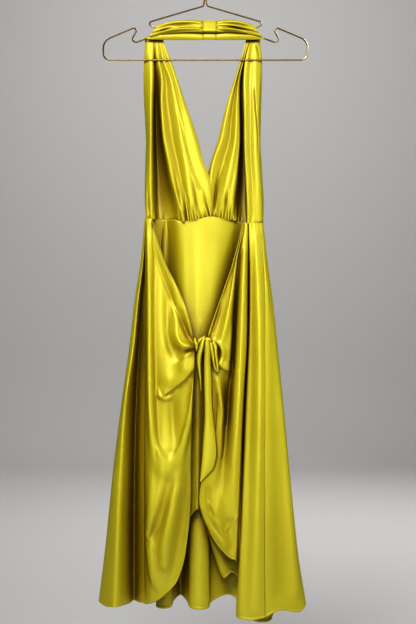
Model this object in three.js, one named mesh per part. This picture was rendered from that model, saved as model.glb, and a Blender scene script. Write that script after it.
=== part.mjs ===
// A satin halter dress that hangs on a bent wire hanger.
// Millimetres. +Z is up, the front of the dress faces -Y, and the origin is the place inside
// the top of the hook where a rail carries the hanger. The wire lies in the plane y = 0.
import * as THREE from "three";

// ---- Driving sizes ----
const WIRE = 3.2; // diameter of the hanger's wire
const HOOK_INNER = 20; // inner radius of the hook
const SHOULDER_DROP = 84; // from the rail down to the apex of the shoulders
const WAIST_DROP = 515; // from the rail down to the waist seam
const CLOTH = 1.5; // thickness of the cloth walls
const LAP_RADIUS = 3; // from the wire's centre to the middle of the cloth that laps over it
const STEPS_PER_FOLD = 2; // columns of facets between one fold line and the next

const satin = new THREE.MeshStandardMaterial({ color: 0xb3a516, roughness: 0.35, metalness: 0 });
const brass = new THREE.MeshStandardMaterial({ color: 0xb08d57, roughness: 0.3, metalness: 1 });
const dress = new THREE.Group();

// ---- Helpers ----

// Rows of numbers as objects with the named columns.
function table(columns, rows) {
  return rows.map((row) => Object.fromEntries(columns.map((name, i) => [name, row[i]])));
}

function smoothstep(from, to, value) {
  const s = Math.min(1, Math.max(0, (value - from) / (to - from)));
  return s * s * (3 - 2 * s);
}

// The parabola through start at t = 0, middle at t = 0.5 and end at t = 1.
function bow(start, middle, end, t) {
  return (1 - t) * (1 - 2 * t) * start + 4 * t * (1 - t) * middle + t * (2 * t - 1) * end;
}

// A smooth curve through the points, at u from 0 to points.length - 1.
function across(points, u) {
  const k = Math.min(points.length - 2, Math.floor(u));
  const at = (i) => points[Math.min(points.length - 1, Math.max(0, i))];
  const s = u - k;
  const weights = [
    (-s + 2 * s * s - s * s * s) / 2,
    (2 - 5 * s * s + 3 * s * s * s) / 2,
    (s + 4 * s * s - 3 * s * s * s) / 2,
    (-s * s + s * s * s) / 2,
  ];
  const sum = new THREE.Vector3();
  weights.forEach((w, i) => sum.addScaledVector(at(k - 1 + i), w));
  return sum;
}

// A grid of points: one column for each step across the fold lines, one row for each value of t.
function foldGrid(foldLines, rowValues) {
  const columns = (foldLines.length - 1) * STEPS_PER_FOLD;
  return rowValues.map((t) => {
    const onFolds = foldLines.map((line) => line(t));
    return Array.from({ length: columns + 1 }, (_, i) => across(onFolds, i / STEPS_PER_FOLD));
  });
}

function evenRows(count) {
  return Array.from({ length: count + 1 }, (_, j) => j / count);
}

// A mesh from faces of three or four corners, turned so that its faces point out.
function closedMesh(name, points, faces, material) {
  const triangles = faces.flatMap((f) => (f.length === 3 ? [f] : [[f[0], f[1], f[2]], [f[0], f[2], f[3]]]));
  const volume = triangles.reduce(
    (sum, [a, b, c]) => sum + points[a].dot(new THREE.Vector3().crossVectors(points[b], points[c])),
    0,
  );
  const turned = volume < 0 ? triangles.map(([a, b, c]) => [a, c, b]) : triangles;
  const geometry = new THREE.BufferGeometry().setFromPoints(points).setIndex(turned.flat());
  geometry.computeVertexNormals();
  const mesh = new THREE.Mesh(geometry, material);
  mesh.name = name;
  dress.add(mesh);
  return mesh;
}

// A cloth wall of even thickness, whose middle is the grid.
function clothWall(name, grid, thickness = CLOTH) {
  const rows = grid.length;
  const columns = grid[0].length;
  const at = (j, i) => grid[Math.min(rows - 1, Math.max(0, j))][Math.min(columns - 1, Math.max(0, i))];
  const sides = [-1, 1].map((side) =>
    grid.flatMap((row, j) =>
      row.map((point, i) => {
        const right = at(j, i + 1).clone().sub(at(j, i - 1));
        const down = at(j + 1, i).clone().sub(at(j - 1, i));
        const normal = right.cross(down).normalize();
        return point.clone().addScaledVector(normal, (side * thickness) / 2);
      }),
    ),
  );
  const back = rows * columns;
  const faces = [];
  for (let j = 0; j < rows - 1; j++)
    for (let i = 0; i < columns - 1; i++) {
      const a = j * columns + i;
      const quad = [a, a + 1, a + columns + 1, a + columns];
      faces.push(quad, quad.map((v) => v + back).reverse());
    }
  const rim = [];
  for (let i = 0; i < columns - 1; i++) rim.push(i);
  for (let j = 0; j < rows - 1; j++) rim.push(j * columns + columns - 1);
  for (let i = columns - 1; i > 0; i--) rim.push((rows - 1) * columns + i);
  for (let j = rows - 1; j > 0; j--) rim.push(j * columns);
  rim.forEach((a, k) => {
    const b = rim[(k + 1) % rim.length];
    faces.push([b, a, a + back, b + back]);
  });
  return closedMesh(name, sides.flat(), faces, satin);
}

// ---- Hanger: one wire, bent in a plane, its two ends twisted together under the hook ----

// Corners of the right half from the neck to the bar, with the radius that each is bent to.
const HANGER_CORNERS = table(["x", "drop", "radius"], [
  [4, SHOULDER_DROP + 1, 3],
  [118.5, 118.7, 4.5], // nose of the upper notch
  [82, 137, 4.5], // inside of the upper notch
  [152.7, 162.4, 7], // foot of the lower notch
  [131.3, 123.6, 5], // nose of the lower notch
  [203.5, 154, 22], // shoulder end
  [202, 192, 13], // end of the bar
]);
const TWIST_RADIUS = 1.8;
const TWIST_TURNS = 3;
const TWIST_TOP = 49; // drop of the twist's upper end
const TWIST_FOOT = 73; // drop where the two wires part

// The points of a bent corner, an arc that touches the lines to its two neighbours.
function bentCorner(before, corner, after, radius) {
  const toBefore = before.clone().sub(corner).normalize();
  const toAfter = after.clone().sub(corner).normalize();
  const half = toBefore.angleTo(toAfter) / 2;
  const centre = toBefore.clone().add(toAfter).normalize().multiplyScalar(radius / Math.sin(half)).add(corner);
  const from = toBefore.clone().multiplyScalar(radius / Math.tan(half)).add(corner).sub(centre);
  const turn = Math.PI - 2 * half;
  const axis = toAfter.clone().cross(toBefore).normalize();
  const steps = Math.max(3, Math.ceil(turn / 0.4));
  return Array.from({ length: steps + 1 }, (_, i) =>
    from.clone().applyAxisAngle(axis, (turn * i) / steps).add(centre),
  );
}

function hangerHalf(side) {
  const corners = HANGER_CORNERS.map((c) => new THREE.Vector3(side * c.x, 0, -c.drop));
  const neck = new THREE.Vector3(side * TWIST_RADIUS, 0, -TWIST_FOOT);
  const barMiddle = new THREE.Vector3(0, 0, -HANGER_CORNERS.at(-1).drop);
  const line = [neck, ...corners, barMiddle];
  return corners.flatMap((corner, i) => bentCorner(line[i], corner, line[i + 2], HANGER_CORNERS[i].radius));
}

// One strand of the twist, from its foot up.
function twistStrand(side) {
  const steps = 8 * TWIST_TURNS;
  return Array.from({ length: steps + 1 }, (_, i) => {
    const angle = (2 * Math.PI * TWIST_TURNS * i) / steps + (side < 0 ? Math.PI : 0);
    const drop = TWIST_FOOT + ((TWIST_TOP - TWIST_FOOT) * i) / steps;
    return new THREE.Vector3(TWIST_RADIUS * Math.cos(angle), TWIST_RADIUS * Math.sin(angle), -drop);
  });
}

// The hook goes round from under its centre, up the right side and over to the left.
function hookPoints() {
  const radius = HOOK_INNER + WIRE / 2;
  const [startAngle, endAngle, steps] = [-1.25, 3.5, 18];
  return Array.from({ length: steps + 1 }, (_, i) => {
    const angle = startAngle + ((endAngle - startAngle) * i) / steps;
    return new THREE.Vector3(radius * Math.cos(angle), 0, radius * Math.sin(angle) - HOOK_INNER);
  });
}

// A round wire along the points, with a ring of vertices at each.
function roundWire(name, points, diameter, sides = 8) {
  const rings = [];
  let across0 = new THREE.Vector3(0, 1, 0);
  points.forEach((point, i) => {
    const ahead = points[Math.min(points.length - 1, i + 1)].clone();
    const along = ahead.sub(points[Math.max(0, i - 1)]).normalize();
    across0 = across0.clone().addScaledVector(along, -across0.dot(along)).normalize();
    const other = along.clone().cross(across0);
    for (let k = 0; k < sides; k++) {
      const angle = (2 * Math.PI * k) / sides;
      const offset = across0.clone().multiplyScalar(Math.cos(angle)).addScaledVector(other, Math.sin(angle));
      rings.push(point.clone().addScaledVector(offset, diameter / 2));
    }
  });
  const faces = [];
  for (let i = 0; i < points.length - 1; i++)
    for (let k = 0; k < sides; k++) {
      const [a, b] = [i * sides + k, i * sides + ((k + 1) % sides)];
      faces.push([a, b, b + sides, a + sides]);
    }
  for (let k = 1; k < sides - 1; k++) {
    const last = (points.length - 1) * sides;
    faces.push([0, k + 1, k], [last, last + k, last + k + 1]);
  }
  return closedMesh(name, rings, faces, brass);
}

roundWire(
  "hanger_wire",
  [
    ...twistStrand(-1).reverse(),
    ...hangerHalf(-1),
    ...hangerHalf(1).reverse(),
    ...twistStrand(1),
    ...hookPoints(),
  ],
  WIRE,
);

// ---- Bodice: each half is one panel from the waist seam up to its lap over the wire ----

// Fold lines from one edge to the other: x at the bar, the bust, the foot of the neckline and the
// waist, and relief behind (+) or before (-) the carrying surface at the bar, bust and waist.
const BODICE_COLUMNS = ["barX", "bustX", "veeX", "waistX", "barRelief", "bustRelief", "waistRelief"];
const BODICE_LEFT = table(BODICE_COLUMNS, [
  [-119, -119, -118.5, -117, 1, 4, 1], // outer edge
  [-114, -112, -111, -110, 0, -5, -1],
  [-108, -103, -101, -98, 1, -3, -1],
  [-103, -95, -86, -74, 3, 13, 1], // deep fold between the side and the cup
  [-97, -84, -67, -47, 0, -3, -3], // side of the cup
  [-92, -74, -54, -36, 2, 1, -2],
  [-88, -64, -41, -26, 0, -6, -3.5],
  [-83, -53, -28, -16, 2, -1, -2.5],
  [-79, -41, -13, -4, 0, -8, -4],
  [-74, -27, 6, 8, 0, -3, -4.5], // neckline edge
]);
const BODICE_RIGHT = table(BODICE_COLUMNS, [
  [68, 30, 4, 4, 3, 1.5, -1.6], // neckline edge
  [72, 40, 17, 16, 3, -7, -3],
  [76, 49, 29, 28, 3, 0, -1.5],
  [81, 58, 41, 41, 2, -7, -3],
  [85, 68, 56, 57, 3, -3, -2],
  [91, 79, 74, 71, 5, 9, 1.5], // deep fold behind the side
  [92, 75, 76, 82, 1, -9, -2], // folded edge that overlaps the cup
  [98, 86, 86, 92, 0, -13, -4],
  [105, 98, 99, 103, 1, -10, -3],
  [112, 110, 112, 115, 1, -2, 1], // outer edge
]);
const BAR_SHARE = 0.13; // where the cloth passes behind the bar, as a share of its length
const BUST_SHARE = 0.5;
const VEE_SHARE = 0.745; // the foot of the neckline
const WAIST_DEPTH = -9;
const LAP_ANGLE = 2.85; // how far the cloth turns over the wire, in radians
const LAP_INNER = 92.5; // the lap's edges, measured from the middle of the hanger
const LAP_OUTER = 117;

// The value at s on straight lines between the stations.
function between(stations, values, s) {
  const k = Math.max(1, stations.findIndex((station) => s <= station));
  const share = (s - stations[k - 1]) / (stations[k] - stations[k - 1]);
  return values[k - 1] + (values[k] - values[k - 1]) * share;
}

// Drop of the wire's slope between its two notches.
function slopeDrop(x) {
  const [inner, outer] = [HANGER_CORNERS[2], HANGER_CORNERS[3]];
  return inner.drop + ((Math.abs(x) - inner.x) / (outer.x - inner.x)) * (outer.drop - inner.drop);
}

// s runs from -1, the end of the lap in front of the wire, through 0, behind the wire, to 1, the waist.
function bodiceLine(fold, folds) {
  const span = Math.abs(folds[0].barX - folds.at(-1).barX);
  const inner = Math.min(...folds.map((f) => Math.abs(f.barX)));
  const lapX = Math.sign(fold.barX)
    * (LAP_INNER + ((Math.abs(fold.barX) - inner) / span) * (LAP_OUTER - LAP_INNER));
  const wireDrop = slopeDrop(lapX);
  return (s) => {
    if (s < 0) {
      const angle = -s * LAP_ANGLE;
      return new THREE.Vector3(lapX, LAP_RADIUS * Math.cos(angle), LAP_RADIUS * Math.sin(angle) - wireDrop);
    }
    const carrier = LAP_RADIUS + (WAIST_DEPTH - LAP_RADIUS) * smoothstep(BAR_SHARE, 1, s);
    const relief = s < BUST_SHARE
      ? fold.barRelief * smoothstep(0, BAR_SHARE, s) + (fold.bustRelief - fold.barRelief) * smoothstep(BAR_SHARE, BUST_SHARE, s)
      : fold.bustRelief + (fold.waistRelief - fold.bustRelief) * smoothstep(BUST_SHARE, 1, s);
    const x = between(
      [0, BAR_SHARE, BUST_SHARE, VEE_SHARE, 1], [lapX, fold.barX, fold.bustX, fold.veeX, fold.waistX], s);
    return new THREE.Vector3(x, carrier + relief, -wireDrop - (WAIST_DROP - wireDrop) * s);
  };
}

const BODICE_ROWS = [
  -1, -0.66, -0.33, 0, 0.065, BAR_SHARE, 0.2, 0.28, 0.36, 0.43, BUST_SHARE, 0.58, 0.66, VEE_SHARE, 0.83, 0.92, 1,
];
for (const [name, folds] of [["bodice_left", BODICE_LEFT], ["bodice_right", BODICE_RIGHT]])
  clothWall(name, foldGrid(folds.map((fold) => bodiceLine(fold, folds)), BODICE_ROWS));

// ---- Neck band: a folded strap in two halves, gathered onto a plain joining piece ----

// Section of the folded strap from its front edge over the top fold to its lower back edge:
// drop below the rail and depth at the joining piece and half way out, and where the line
// meets the lap over the wire.
const BAND_COLUMNS = ["joinDrop", "joinY", "midDrop", "midY", "endX", "endDrop", "endY"];
const BAND_SECTION = table(BAND_COLUMNS, [
  [139.5, -10, 140, -11.5, 111, 147.5, -7],
  [136, -12.5, 136, -15.5, 110, 144.5, -8.5],
  [131.5, -11.5, 132, -12, 107, 141, -8.5],
  [127, -13, 127, -16, 103.5, 137, -9.5],
  [122.5, -12, 122.5, -13, 100, 132, -9.5],
  [118.5, -11.5, 118, -13.5, 96, 126.5, -9],
  [117, -8.5, 116, -9, 93, 124, -6.5],
  [120, -5, 121, -5, 94.5, 128, -4.8],
  [134, -4.2, 134, -4.4, 101, 138, -4.6],
  [147, -5.6, 146, -7.5, 112, 147.5, -4.6],
  [153, -4.6, 153, -5, 118, 151.5, -4.6],
]);
const BAND_CLOTH = 1.2;
const JOIN_LEFT = -6; // x of the joining piece's ends
const JOIN_RIGHT = 22;
const JOIN_FRONT = -12.4; // depth of the joining piece's flat front
const SEAM_GAP = 0.3;

// t runs from the joining piece at joinX out to the wire on that side.
function bandLine(row, joinX, side) {
  return (t) => new THREE.Vector3(
    joinX + (side * row.endX - joinX) * t,
    bow(row.joinY, row.midY, row.endY, t),
    -bow(row.joinDrop, row.midDrop, row.endDrop, t),
  );
}

function neckBand(name, joinX, side) {
  clothWall(name, foldGrid(BAND_SECTION.map((row) => bandLine(row, joinX, side)), evenRows(8)), BAND_CLOTH);
}

neckBand("neck_band_left", JOIN_LEFT - SEAM_GAP, -1);
neckBand("neck_band_right", JOIN_RIGHT + SEAM_GAP, 1);

// The joining piece follows the strap's section, with a flat front.
const joinLines = BAND_SECTION.map((row) => (t) => new THREE.Vector3(
  JOIN_LEFT + (JOIN_RIGHT - JOIN_LEFT) * t,
  row.joinY < -9 ? JOIN_FRONT : row.joinY,
  -row.joinDrop,
));
clothWall("neck_join", foldGrid(joinLines, evenRows(2)), BAND_CLOTH);

// ---- Skirt ----

// Fold lines of a panel: x and y at its top, half way down and at the hem, and the drop of its
// top and its hem below the waist seam.
const SKIRT_COLUMNS = ["topX", "topY", "topDrop", "midX", "midY", "hemX", "hemY", "hemDrop"];

function skirtLine(fold) {
  return (t) => new THREE.Vector3(
    bow(fold.topX, fold.midX, fold.hemX, t),
    bow(fold.topY, fold.midY, fold.hemY, t),
    -WAIST_DROP - fold.topDrop - (fold.hemDrop - fold.topDrop) * t,
  );
}

// The back runs from the left seam, on the front face, round behind to the right seam.
const SKIRT_BACK = table(SKIRT_COLUMNS, [
  [-108, -9, 0.5, -122, -15, -123, -12, 757], // left seam
  [-112, -8.5, 0.5, -138, -4, -147, 2, 758],
  [-115.5, -7, 0.5, -150, -14, -166, -24, 771],
  [-117.5, -4.5, 0.5, -159, -22, -188, -34, 773],
  [-118, -1, 0.5, -168, -8, -212, -14, 758], // left side
  [-116, 3.5, 0.5, -160, 14, -197, 16, 756],
  [-104, 8, 0.5, -132, 27, -150, 36, 750],
  [-91, 9, 0.5, -108, 17, -103, 15, 762],
  [-77, 9, 0.5, -92, 9, -82, 4, 775], // first inward flute
  [-62, 10, 0.5, -75, 17, -61, 15, 762],
  [-46, 13, 0.5, -55, 28, -48, 38, 748],
  [-30, 11, 0.5, -33, 17, -35, 15, 760],
  [-12, 10, 0.5, -12, 9, -11, 4, 775], // second inward flute
  [6, 11, 0.5, 9, 17, 14, 15, 760],
  [24, 13, 0.5, 34, 28, 42, 38, 748],
  [42, 11, 0.5, 60, 18, 84, 14, 772],
  [58, 10, 0.5, 77, 10, 108, 2, 800], // third inward flute
  [76, 10, 0.5, 96, 18, 132, 14, 774],
  [98, 9, 0.5, 126, 27, 158, 36, 752],
  [113, 4, 0.5, 149, 14, 190, 18, 756],
  [116, -1.5, 0.5, 157, -3, 202, -4, 764], // right side
  [114, -6, 0.5, 150, -17, 190, -27, 777],
  [110, -8.5, 0.5, 137, -17, 162, -21, 779],
  [105, -9, 0.5, 119, -20, 130, -26, 784], // right seam
]);
clothWall("skirt_back", foldGrid(SKIRT_BACK.map(skirtLine), evenRows(8)));

// The front panel shows between the wraps above the knot, and its hem below them.
const SKIRT_FRONT = table(SKIRT_COLUMNS, [
  [-97, -6.5, 0.5, -104, -7, -106, -8, 690],
  [-75, -8, 0.5, -78, -9, -80, -10, 640],
  [-50, -11, 0.5, -50, -11, -50, -11, 612],
  [-28, -12.5, 0.5, -28, -12, -31, -7, 599],
  [-8, -13, 0.5, -8, -12, -14, -15, 578],
  [14, -12.5, 0.5, 14, -11.5, 8, -7, 604],
  [36, -11, 0.5, 37, -11, 36, -13, 714],
  [60, -8.5, 0.5, 62, -9, 68, -8, 696],
  [86, -6.5, 0.5, 96, -8, 100, -8, 720],
]);
clothWall("skirt_front", foldGrid(SKIRT_FRONT.map(skirtLine), evenRows(8)));

// Each wrap runs from its side seam to its free edge. Its top edge slopes down to the knot.
const WRAP_LEFT = table(SKIRT_COLUMNS, [
  [-107.2, -9, 0.5, -121.2, -15, -122.2, -12, 757], // side seam
  [-104, -13.5, 3, -116.5, -24, -117, -18, 763],
  [-102, -16, 8, -111, -34, -110, -24, 765],
  [-99, -15, 22, -99, -25, -100, -22, 764],
  [-93, -15, 50, -78, -34, -84, -27, 752],
  [-71, -17, 110, -58, -25, -67, -25, 732],
  [-46, -20, 175, -42, -27, -53, -26, 706],
  [-27, -23, 225, -33, -34, -42, -25, 668],
  [-17, -24, 252, -26, -24, -34, -20, 604], // free edge
]);
clothWall("wrap_left", foldGrid(WRAP_LEFT.map(skirtLine), evenRows(10)));

const WRAP_RIGHT = table(SKIRT_COLUMNS, [
  [104.2, -9, 0.5, 118.2, -20, 129.2, -26, 784], // side seam
  [97.5, -14, 4, 110, -26, 118, -35, 792],
  [91, -17, 8, 98, -31, 100, -42, 798],
  [84.5, -18, 12, 85, -33, 78, -44, 795],
  [80, -17, 18, 78, -29, 62, -38, 789], // folded edge of the deep pleat
  [77, -14.5, 28, 84, -22, 72, -27, 774],
  [73.5, -14, 38, 79, -17, 68, -19, 735],
  [70, -15.5, 50, 72, -22, 62, -23, 700],
  [65, -17, 64, 63, -30, 51, -28, 678],
  [58, -17, 84, 52, -23, 40, -23, 667],
  [49, -17, 110, 40, -17.5, 27, -18, 654],
  [35, -20, 150, 24, -24, 10, -23, 628],
  [18, -22, 200, 9, -26, -4, -23, 600],
  [4, -24, 248, -4, -26, -13, -20, 566], // free edge
]);
clothWall("wrap_right", foldGrid(WRAP_RIGHT.map(skirtLine), evenRows(10)));

// ---- Tie: the ends of the two wraps, knotted in front ----

const KNOT_DROP = 756; // from the rail down to the middle of the knot
const KNOT_X = 0;
const KNOT_DEPTH = -35;
const KNOT_SIZE = { width: 34, depth: 21, height: 33 };

// The knot is cloth pulled tight: a lump with slanting folds round it.
function tightKnot() {
  const [sides, rings] = [20, 8];
  const points = [];
  for (let j = 0; j <= rings; j++) {
    const latitude = Math.PI * (0.08 + (0.84 * j) / rings);
    for (let k = 0; k < sides; k++) {
      const longitude = (2 * Math.PI * k) / sides;
      const fold = 1 + 0.09 * Math.cos(2 * longitude - 2.6 * latitude);
      const girth = Math.sin(latitude) ** 0.6 * fold;
      points.push(new THREE.Vector3(
        KNOT_X + (KNOT_SIZE.width / 2) * girth * Math.cos(longitude),
        KNOT_DEPTH + (KNOT_SIZE.depth / 2) * girth * Math.sin(longitude),
        -KNOT_DROP + (KNOT_SIZE.height / 2) * Math.cos(latitude),
      ));
    }
  }
  const faces = [];
  for (let j = 0; j < rings; j++)
    for (let k = 0; k < sides; k++) {
      const next = (k + 1) % sides;
      faces.push([j * sides + k, j * sides + next, (j + 1) * sides + next, (j + 1) * sides + k]);
    }
  for (let k = 1; k < sides - 1; k++) {
    const last = rings * sides;
    faces.push([0, k + 1, k], [last, last + k, last + k + 1]);
  }
  closedMesh("knot", points, faces, satin);
}
tightKnot();

// Rows down a tail: drop, its two edges, the depth of its edges, and how far its middle bulges
// to the front.
const TAIL_COLUMNS = ["drop", "leftX", "rightX", "y", "bulge"];
const TAIL_MAIN = table(TAIL_COLUMNS, [
  [772.6, -2, 11, -34, 3],
  [800, -3, 12, -34, 5],
  [870, -3.5, 13, -34, 6],
  [930, -5.5, 18, -33, 6],
  [972, -7.5, 23, -32, 6],
  [996, -7, 14, -32, 4],
  [1021, -6, 0, -32, 1],
]);
const TAIL_NARROW = table(TAIL_COLUMNS, [
  [772.6, -14, -5, -35, 2],
  [800, -13, -7.5, -36, 2],
  [840, -9, -5.5, -34, 1],
  [876, -6.5, -5, -33, 0.5],
]);
const TAIL_CLOTH = 1.2;

function tail(name, rows) {
  const lines = [-1, -0.5, 0, 0.5, 1].map((place) => (t) => {
    const u = t * (rows.length - 1);
    const k = Math.min(rows.length - 2, Math.floor(u));
    const value = (column) => rows[k][column] + (rows[k + 1][column] - rows[k][column]) * (u - k);
    const half = (value("rightX") - value("leftX")) / 2;
    const y = value("y") - value("bulge") * (1 - place * place);
    return new THREE.Vector3((value("leftX") + value("rightX")) / 2 + half * place, y, -value("drop"));
  });
  clothWall(name, foldGrid(lines, evenRows(2 * (rows.length - 1))), TAIL_CLOTH);
}

tail("tail_main", TAIL_MAIN);
tail("tail_narrow", TAIL_NARROW);

// A small loop of the tie stands out of the knot's right side and hangs beside it.
const LOOP_PATH = table(["x", "drop"], [
  [15.2, 769],
  [16.4, 790],
  [21, 808],
  [26.5, 801],
  [25, 782],
  [19.2, 764],
]);
const LOOP_FRONT = -38;
const LOOP_BACK = -31;
const loopEdges = [LOOP_FRONT, LOOP_BACK].map((y) => LOOP_PATH.map((p) => new THREE.Vector3(p.x, y, -p.drop)));
const loopLines = loopEdges.map((edge) => (t) => across(edge, t * (edge.length - 1)));
clothWall("tie_loop", foldGrid(loopLines, evenRows(10)), TAIL_CLOTH);

export default dress;
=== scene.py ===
import math
import bpy
import numpy as np
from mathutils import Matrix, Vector


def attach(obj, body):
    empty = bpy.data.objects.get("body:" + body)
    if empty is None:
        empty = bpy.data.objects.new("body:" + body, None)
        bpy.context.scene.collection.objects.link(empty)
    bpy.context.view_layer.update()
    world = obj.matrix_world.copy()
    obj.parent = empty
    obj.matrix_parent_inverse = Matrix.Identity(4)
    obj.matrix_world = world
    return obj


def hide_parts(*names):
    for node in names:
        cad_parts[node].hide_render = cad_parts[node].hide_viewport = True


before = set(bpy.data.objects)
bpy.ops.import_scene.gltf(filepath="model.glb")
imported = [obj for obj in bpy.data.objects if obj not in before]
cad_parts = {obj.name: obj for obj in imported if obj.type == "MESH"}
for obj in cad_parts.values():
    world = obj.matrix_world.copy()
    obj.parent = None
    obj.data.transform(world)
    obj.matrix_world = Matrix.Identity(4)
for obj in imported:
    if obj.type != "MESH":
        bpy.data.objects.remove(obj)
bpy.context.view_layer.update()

# All tables are in millimetres: x to the viewer's right, y to the back, and drop, the height
# below the rail that carries the hanger. Meshes are made in metres.
# Most of the long tables were scaled to millimetres and printed by other programs.
MM = 0.001
SATIN = 1.0            # thickness of the cloth walls
HEM_WIDTH = 5.0        # of the turned hem
HEM_RISE = 0.8         # how far it stands out
CREASE_PULL = 1.7      # how much steeper the sides of a creased valley start than those of a round one


# ---------------------------------------------------------------- helpers: curves and surfaces

def smoothstep(start, end, x):
    """0 up to start, 1 from end on, with a soft rise between them."""
    share = np.clip((np.asarray(x, float) - start) / (end - start), 0.0, 1.0)
    return share * share * (3 - 2 * share)


def curve_through(keys, values, at):
    """A smooth curve through values (n, k) at the rising keys, read at the points at."""
    keys = np.asarray(keys, float)
    values = np.asarray(values, float)
    slopes = np.empty_like(values)
    steps = np.diff(values, axis=0) / np.diff(keys)[:, None]
    slopes[1:-1] = 0.5 * (steps[1:] + steps[:-1])
    slopes[0] = steps[0]
    slopes[-1] = steps[-1]
    k = np.clip(np.searchsorted(keys, at, side="right") - 1, 0, len(keys) - 2)
    gap = (keys[k + 1] - keys[k])[:, None]
    s = ((at - keys[k])[:, None]) / gap
    h00 = (1 + 2 * s) * (1 - s) ** 2
    h10 = s * (1 - s) ** 2
    h01 = s * s * (3 - 2 * s)
    h11 = s * s * (s - 1)
    return h00 * values[k] + h10 * gap * slopes[k] + h01 * values[k + 1] + h11 * gap * slopes[k + 1]


def across_folds(on_lines, per_fold, valley=0.0):
    """Grid (rows, columns, 3) from fold lines (lines, rows, 3), with per_fold columns from line to line.
    Crests are round, and with valley over 0 the lines that lie deeper than their neighbours are creased."""
    step = np.diff(on_lines, axis=0)
    before = np.concatenate([step[:1], step])
    after = np.concatenate([step, step[-1:]])
    enter = 0.5 * (before + after)
    leave = enter.copy()
    deep = (before[..., 1] > 0) & (after[..., 1] < 0)
    pull = valley * CREASE_PULL
    enter[..., 1] = np.where(deep, (1 - valley) * enter[..., 1] + pull * before[..., 1], enter[..., 1])
    leave[..., 1] = np.where(deep, (1 - valley) * leave[..., 1] + pull * after[..., 1], leave[..., 1])
    u = np.linspace(0, len(on_lines) - 1, (len(on_lines) - 1) * per_fold + 1)
    k = np.clip(u.astype(int), 0, len(on_lines) - 2)
    t = (u - k)[:, None, None]
    grid = ((1 + 2 * t) * (1 - t) ** 2 * on_lines[k] + t * (1 - t) ** 2 * leave[k]
            + t * t * (3 - 2 * t) * on_lines[k + 1] + t * t * (t - 1) * enter[k + 1])
    return grid.transpose(1, 0, 2)


# Extra rows this far above the hem, for its fold and stitches. The even rows end HEM_ZONE above it.
HEM_ROWS = (13, 10, 8, 6.6, 5.4, 4.4, 3.4, 2.4, 1.2)
HEM_ZONE = 15


def surface(lines, rows, per_fold, valley=0.0, hem=False):
    """Grid of points (rows, columns, 3) as (x, y, drop) from fold lines given as lists of (drop, x, y)."""
    t = np.linspace(0.0, 1.0, rows + 1)
    if hem:
        length = lines[0][-1][0] - lines[0][0][0]
        t = np.concatenate([t[t < 1 - HEM_ZONE / length], 1 - np.array(HEM_ROWS) / length, [1.0]])
    on_lines = []
    for line in lines:
        line = np.asarray(line, float)
        drop = line[0, 0] + (line[-1, 0] - line[0, 0]) * t
        xy = curve_through(line[:, 0], line[:, 1:], drop)
        on_lines.append(np.column_stack([xy, drop]))
    return across_folds(np.array(on_lines), per_fold, valley)


def soften(grid, times, edges=True):
    """Evens out a grid a little; with edges False its border keeps its place."""
    now = grid.copy()
    for _ in range(times):
        new = now.copy()
        around = now[:-2, 1:-1] + now[2:, 1:-1] + now[1:-1, :-2] + now[1:-1, 2:]
        new[1:-1, 1:-1] = 0.5 * now[1:-1, 1:-1] + 0.125 * around
        if edges:
            new[0, 1:-1] = 0.5 * now[0, 1:-1] + 0.25 * (now[0, :-2] + now[0, 2:])
            new[-1, 1:-1] = 0.5 * now[-1, 1:-1] + 0.25 * (now[-1, :-2] + now[-1, 2:])
        now = new
    return now


def strip(stations, rows, columns, roundness=0.7):
    """A narrow piece of cloth from stations (left x, left drop, right x, right drop, edge y, middle y)."""
    stations = np.asarray(stations, float)
    at = np.linspace(0, len(stations) - 1, rows + 1)
    left_x, left_drop, right_x, right_drop, edge_y, middle_y = (
        column[:, None] for column in curve_through(np.arange(len(stations)), stations, at).T)
    u = np.linspace(0, 1, columns + 1)[None, :]
    x = left_x * (1 - u) + right_x * u
    drop = left_drop * (1 - u) + right_drop * u
    crown = (1 - (2 * u - 1) ** 2) ** roundness
    y = edge_y + (middle_y - edge_y) * crown
    return np.stack([x, y, drop], axis=2)


# ---------------------------------------------------------------- helpers: folds and edges

def run_along(grid, axis):
    """How far each point lies from the first one, along its row (axis 1) or its column (axis 0)."""
    steps = np.linalg.norm(np.diff(grid, axis=axis), axis=2)
    padding = ((0, 0), (1, 0)) if axis == 1 else ((1, 0), (0, 0))
    return np.pad(np.cumsum(steps, axis=axis), padding)


def in_columns(grid, columns):
    """True in the columns between two shares of the grid's width."""
    share = np.linspace(0, 1, grid.shape[1])[None, :]
    return (share >= columns[0]) & (share <= columns[1])


def near_path(grid, path, reach):
    """True for the points within reach of the box round path, rows of (x, drop), in the front view."""
    low, high = path.min(0) - reach, path.max(0) + reach
    x, drop = grid[..., 0], grid[..., 2]
    return (x > low[0]) & (x < high[0]) & (drop > low[1]) & (drop < high[1])


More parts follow.
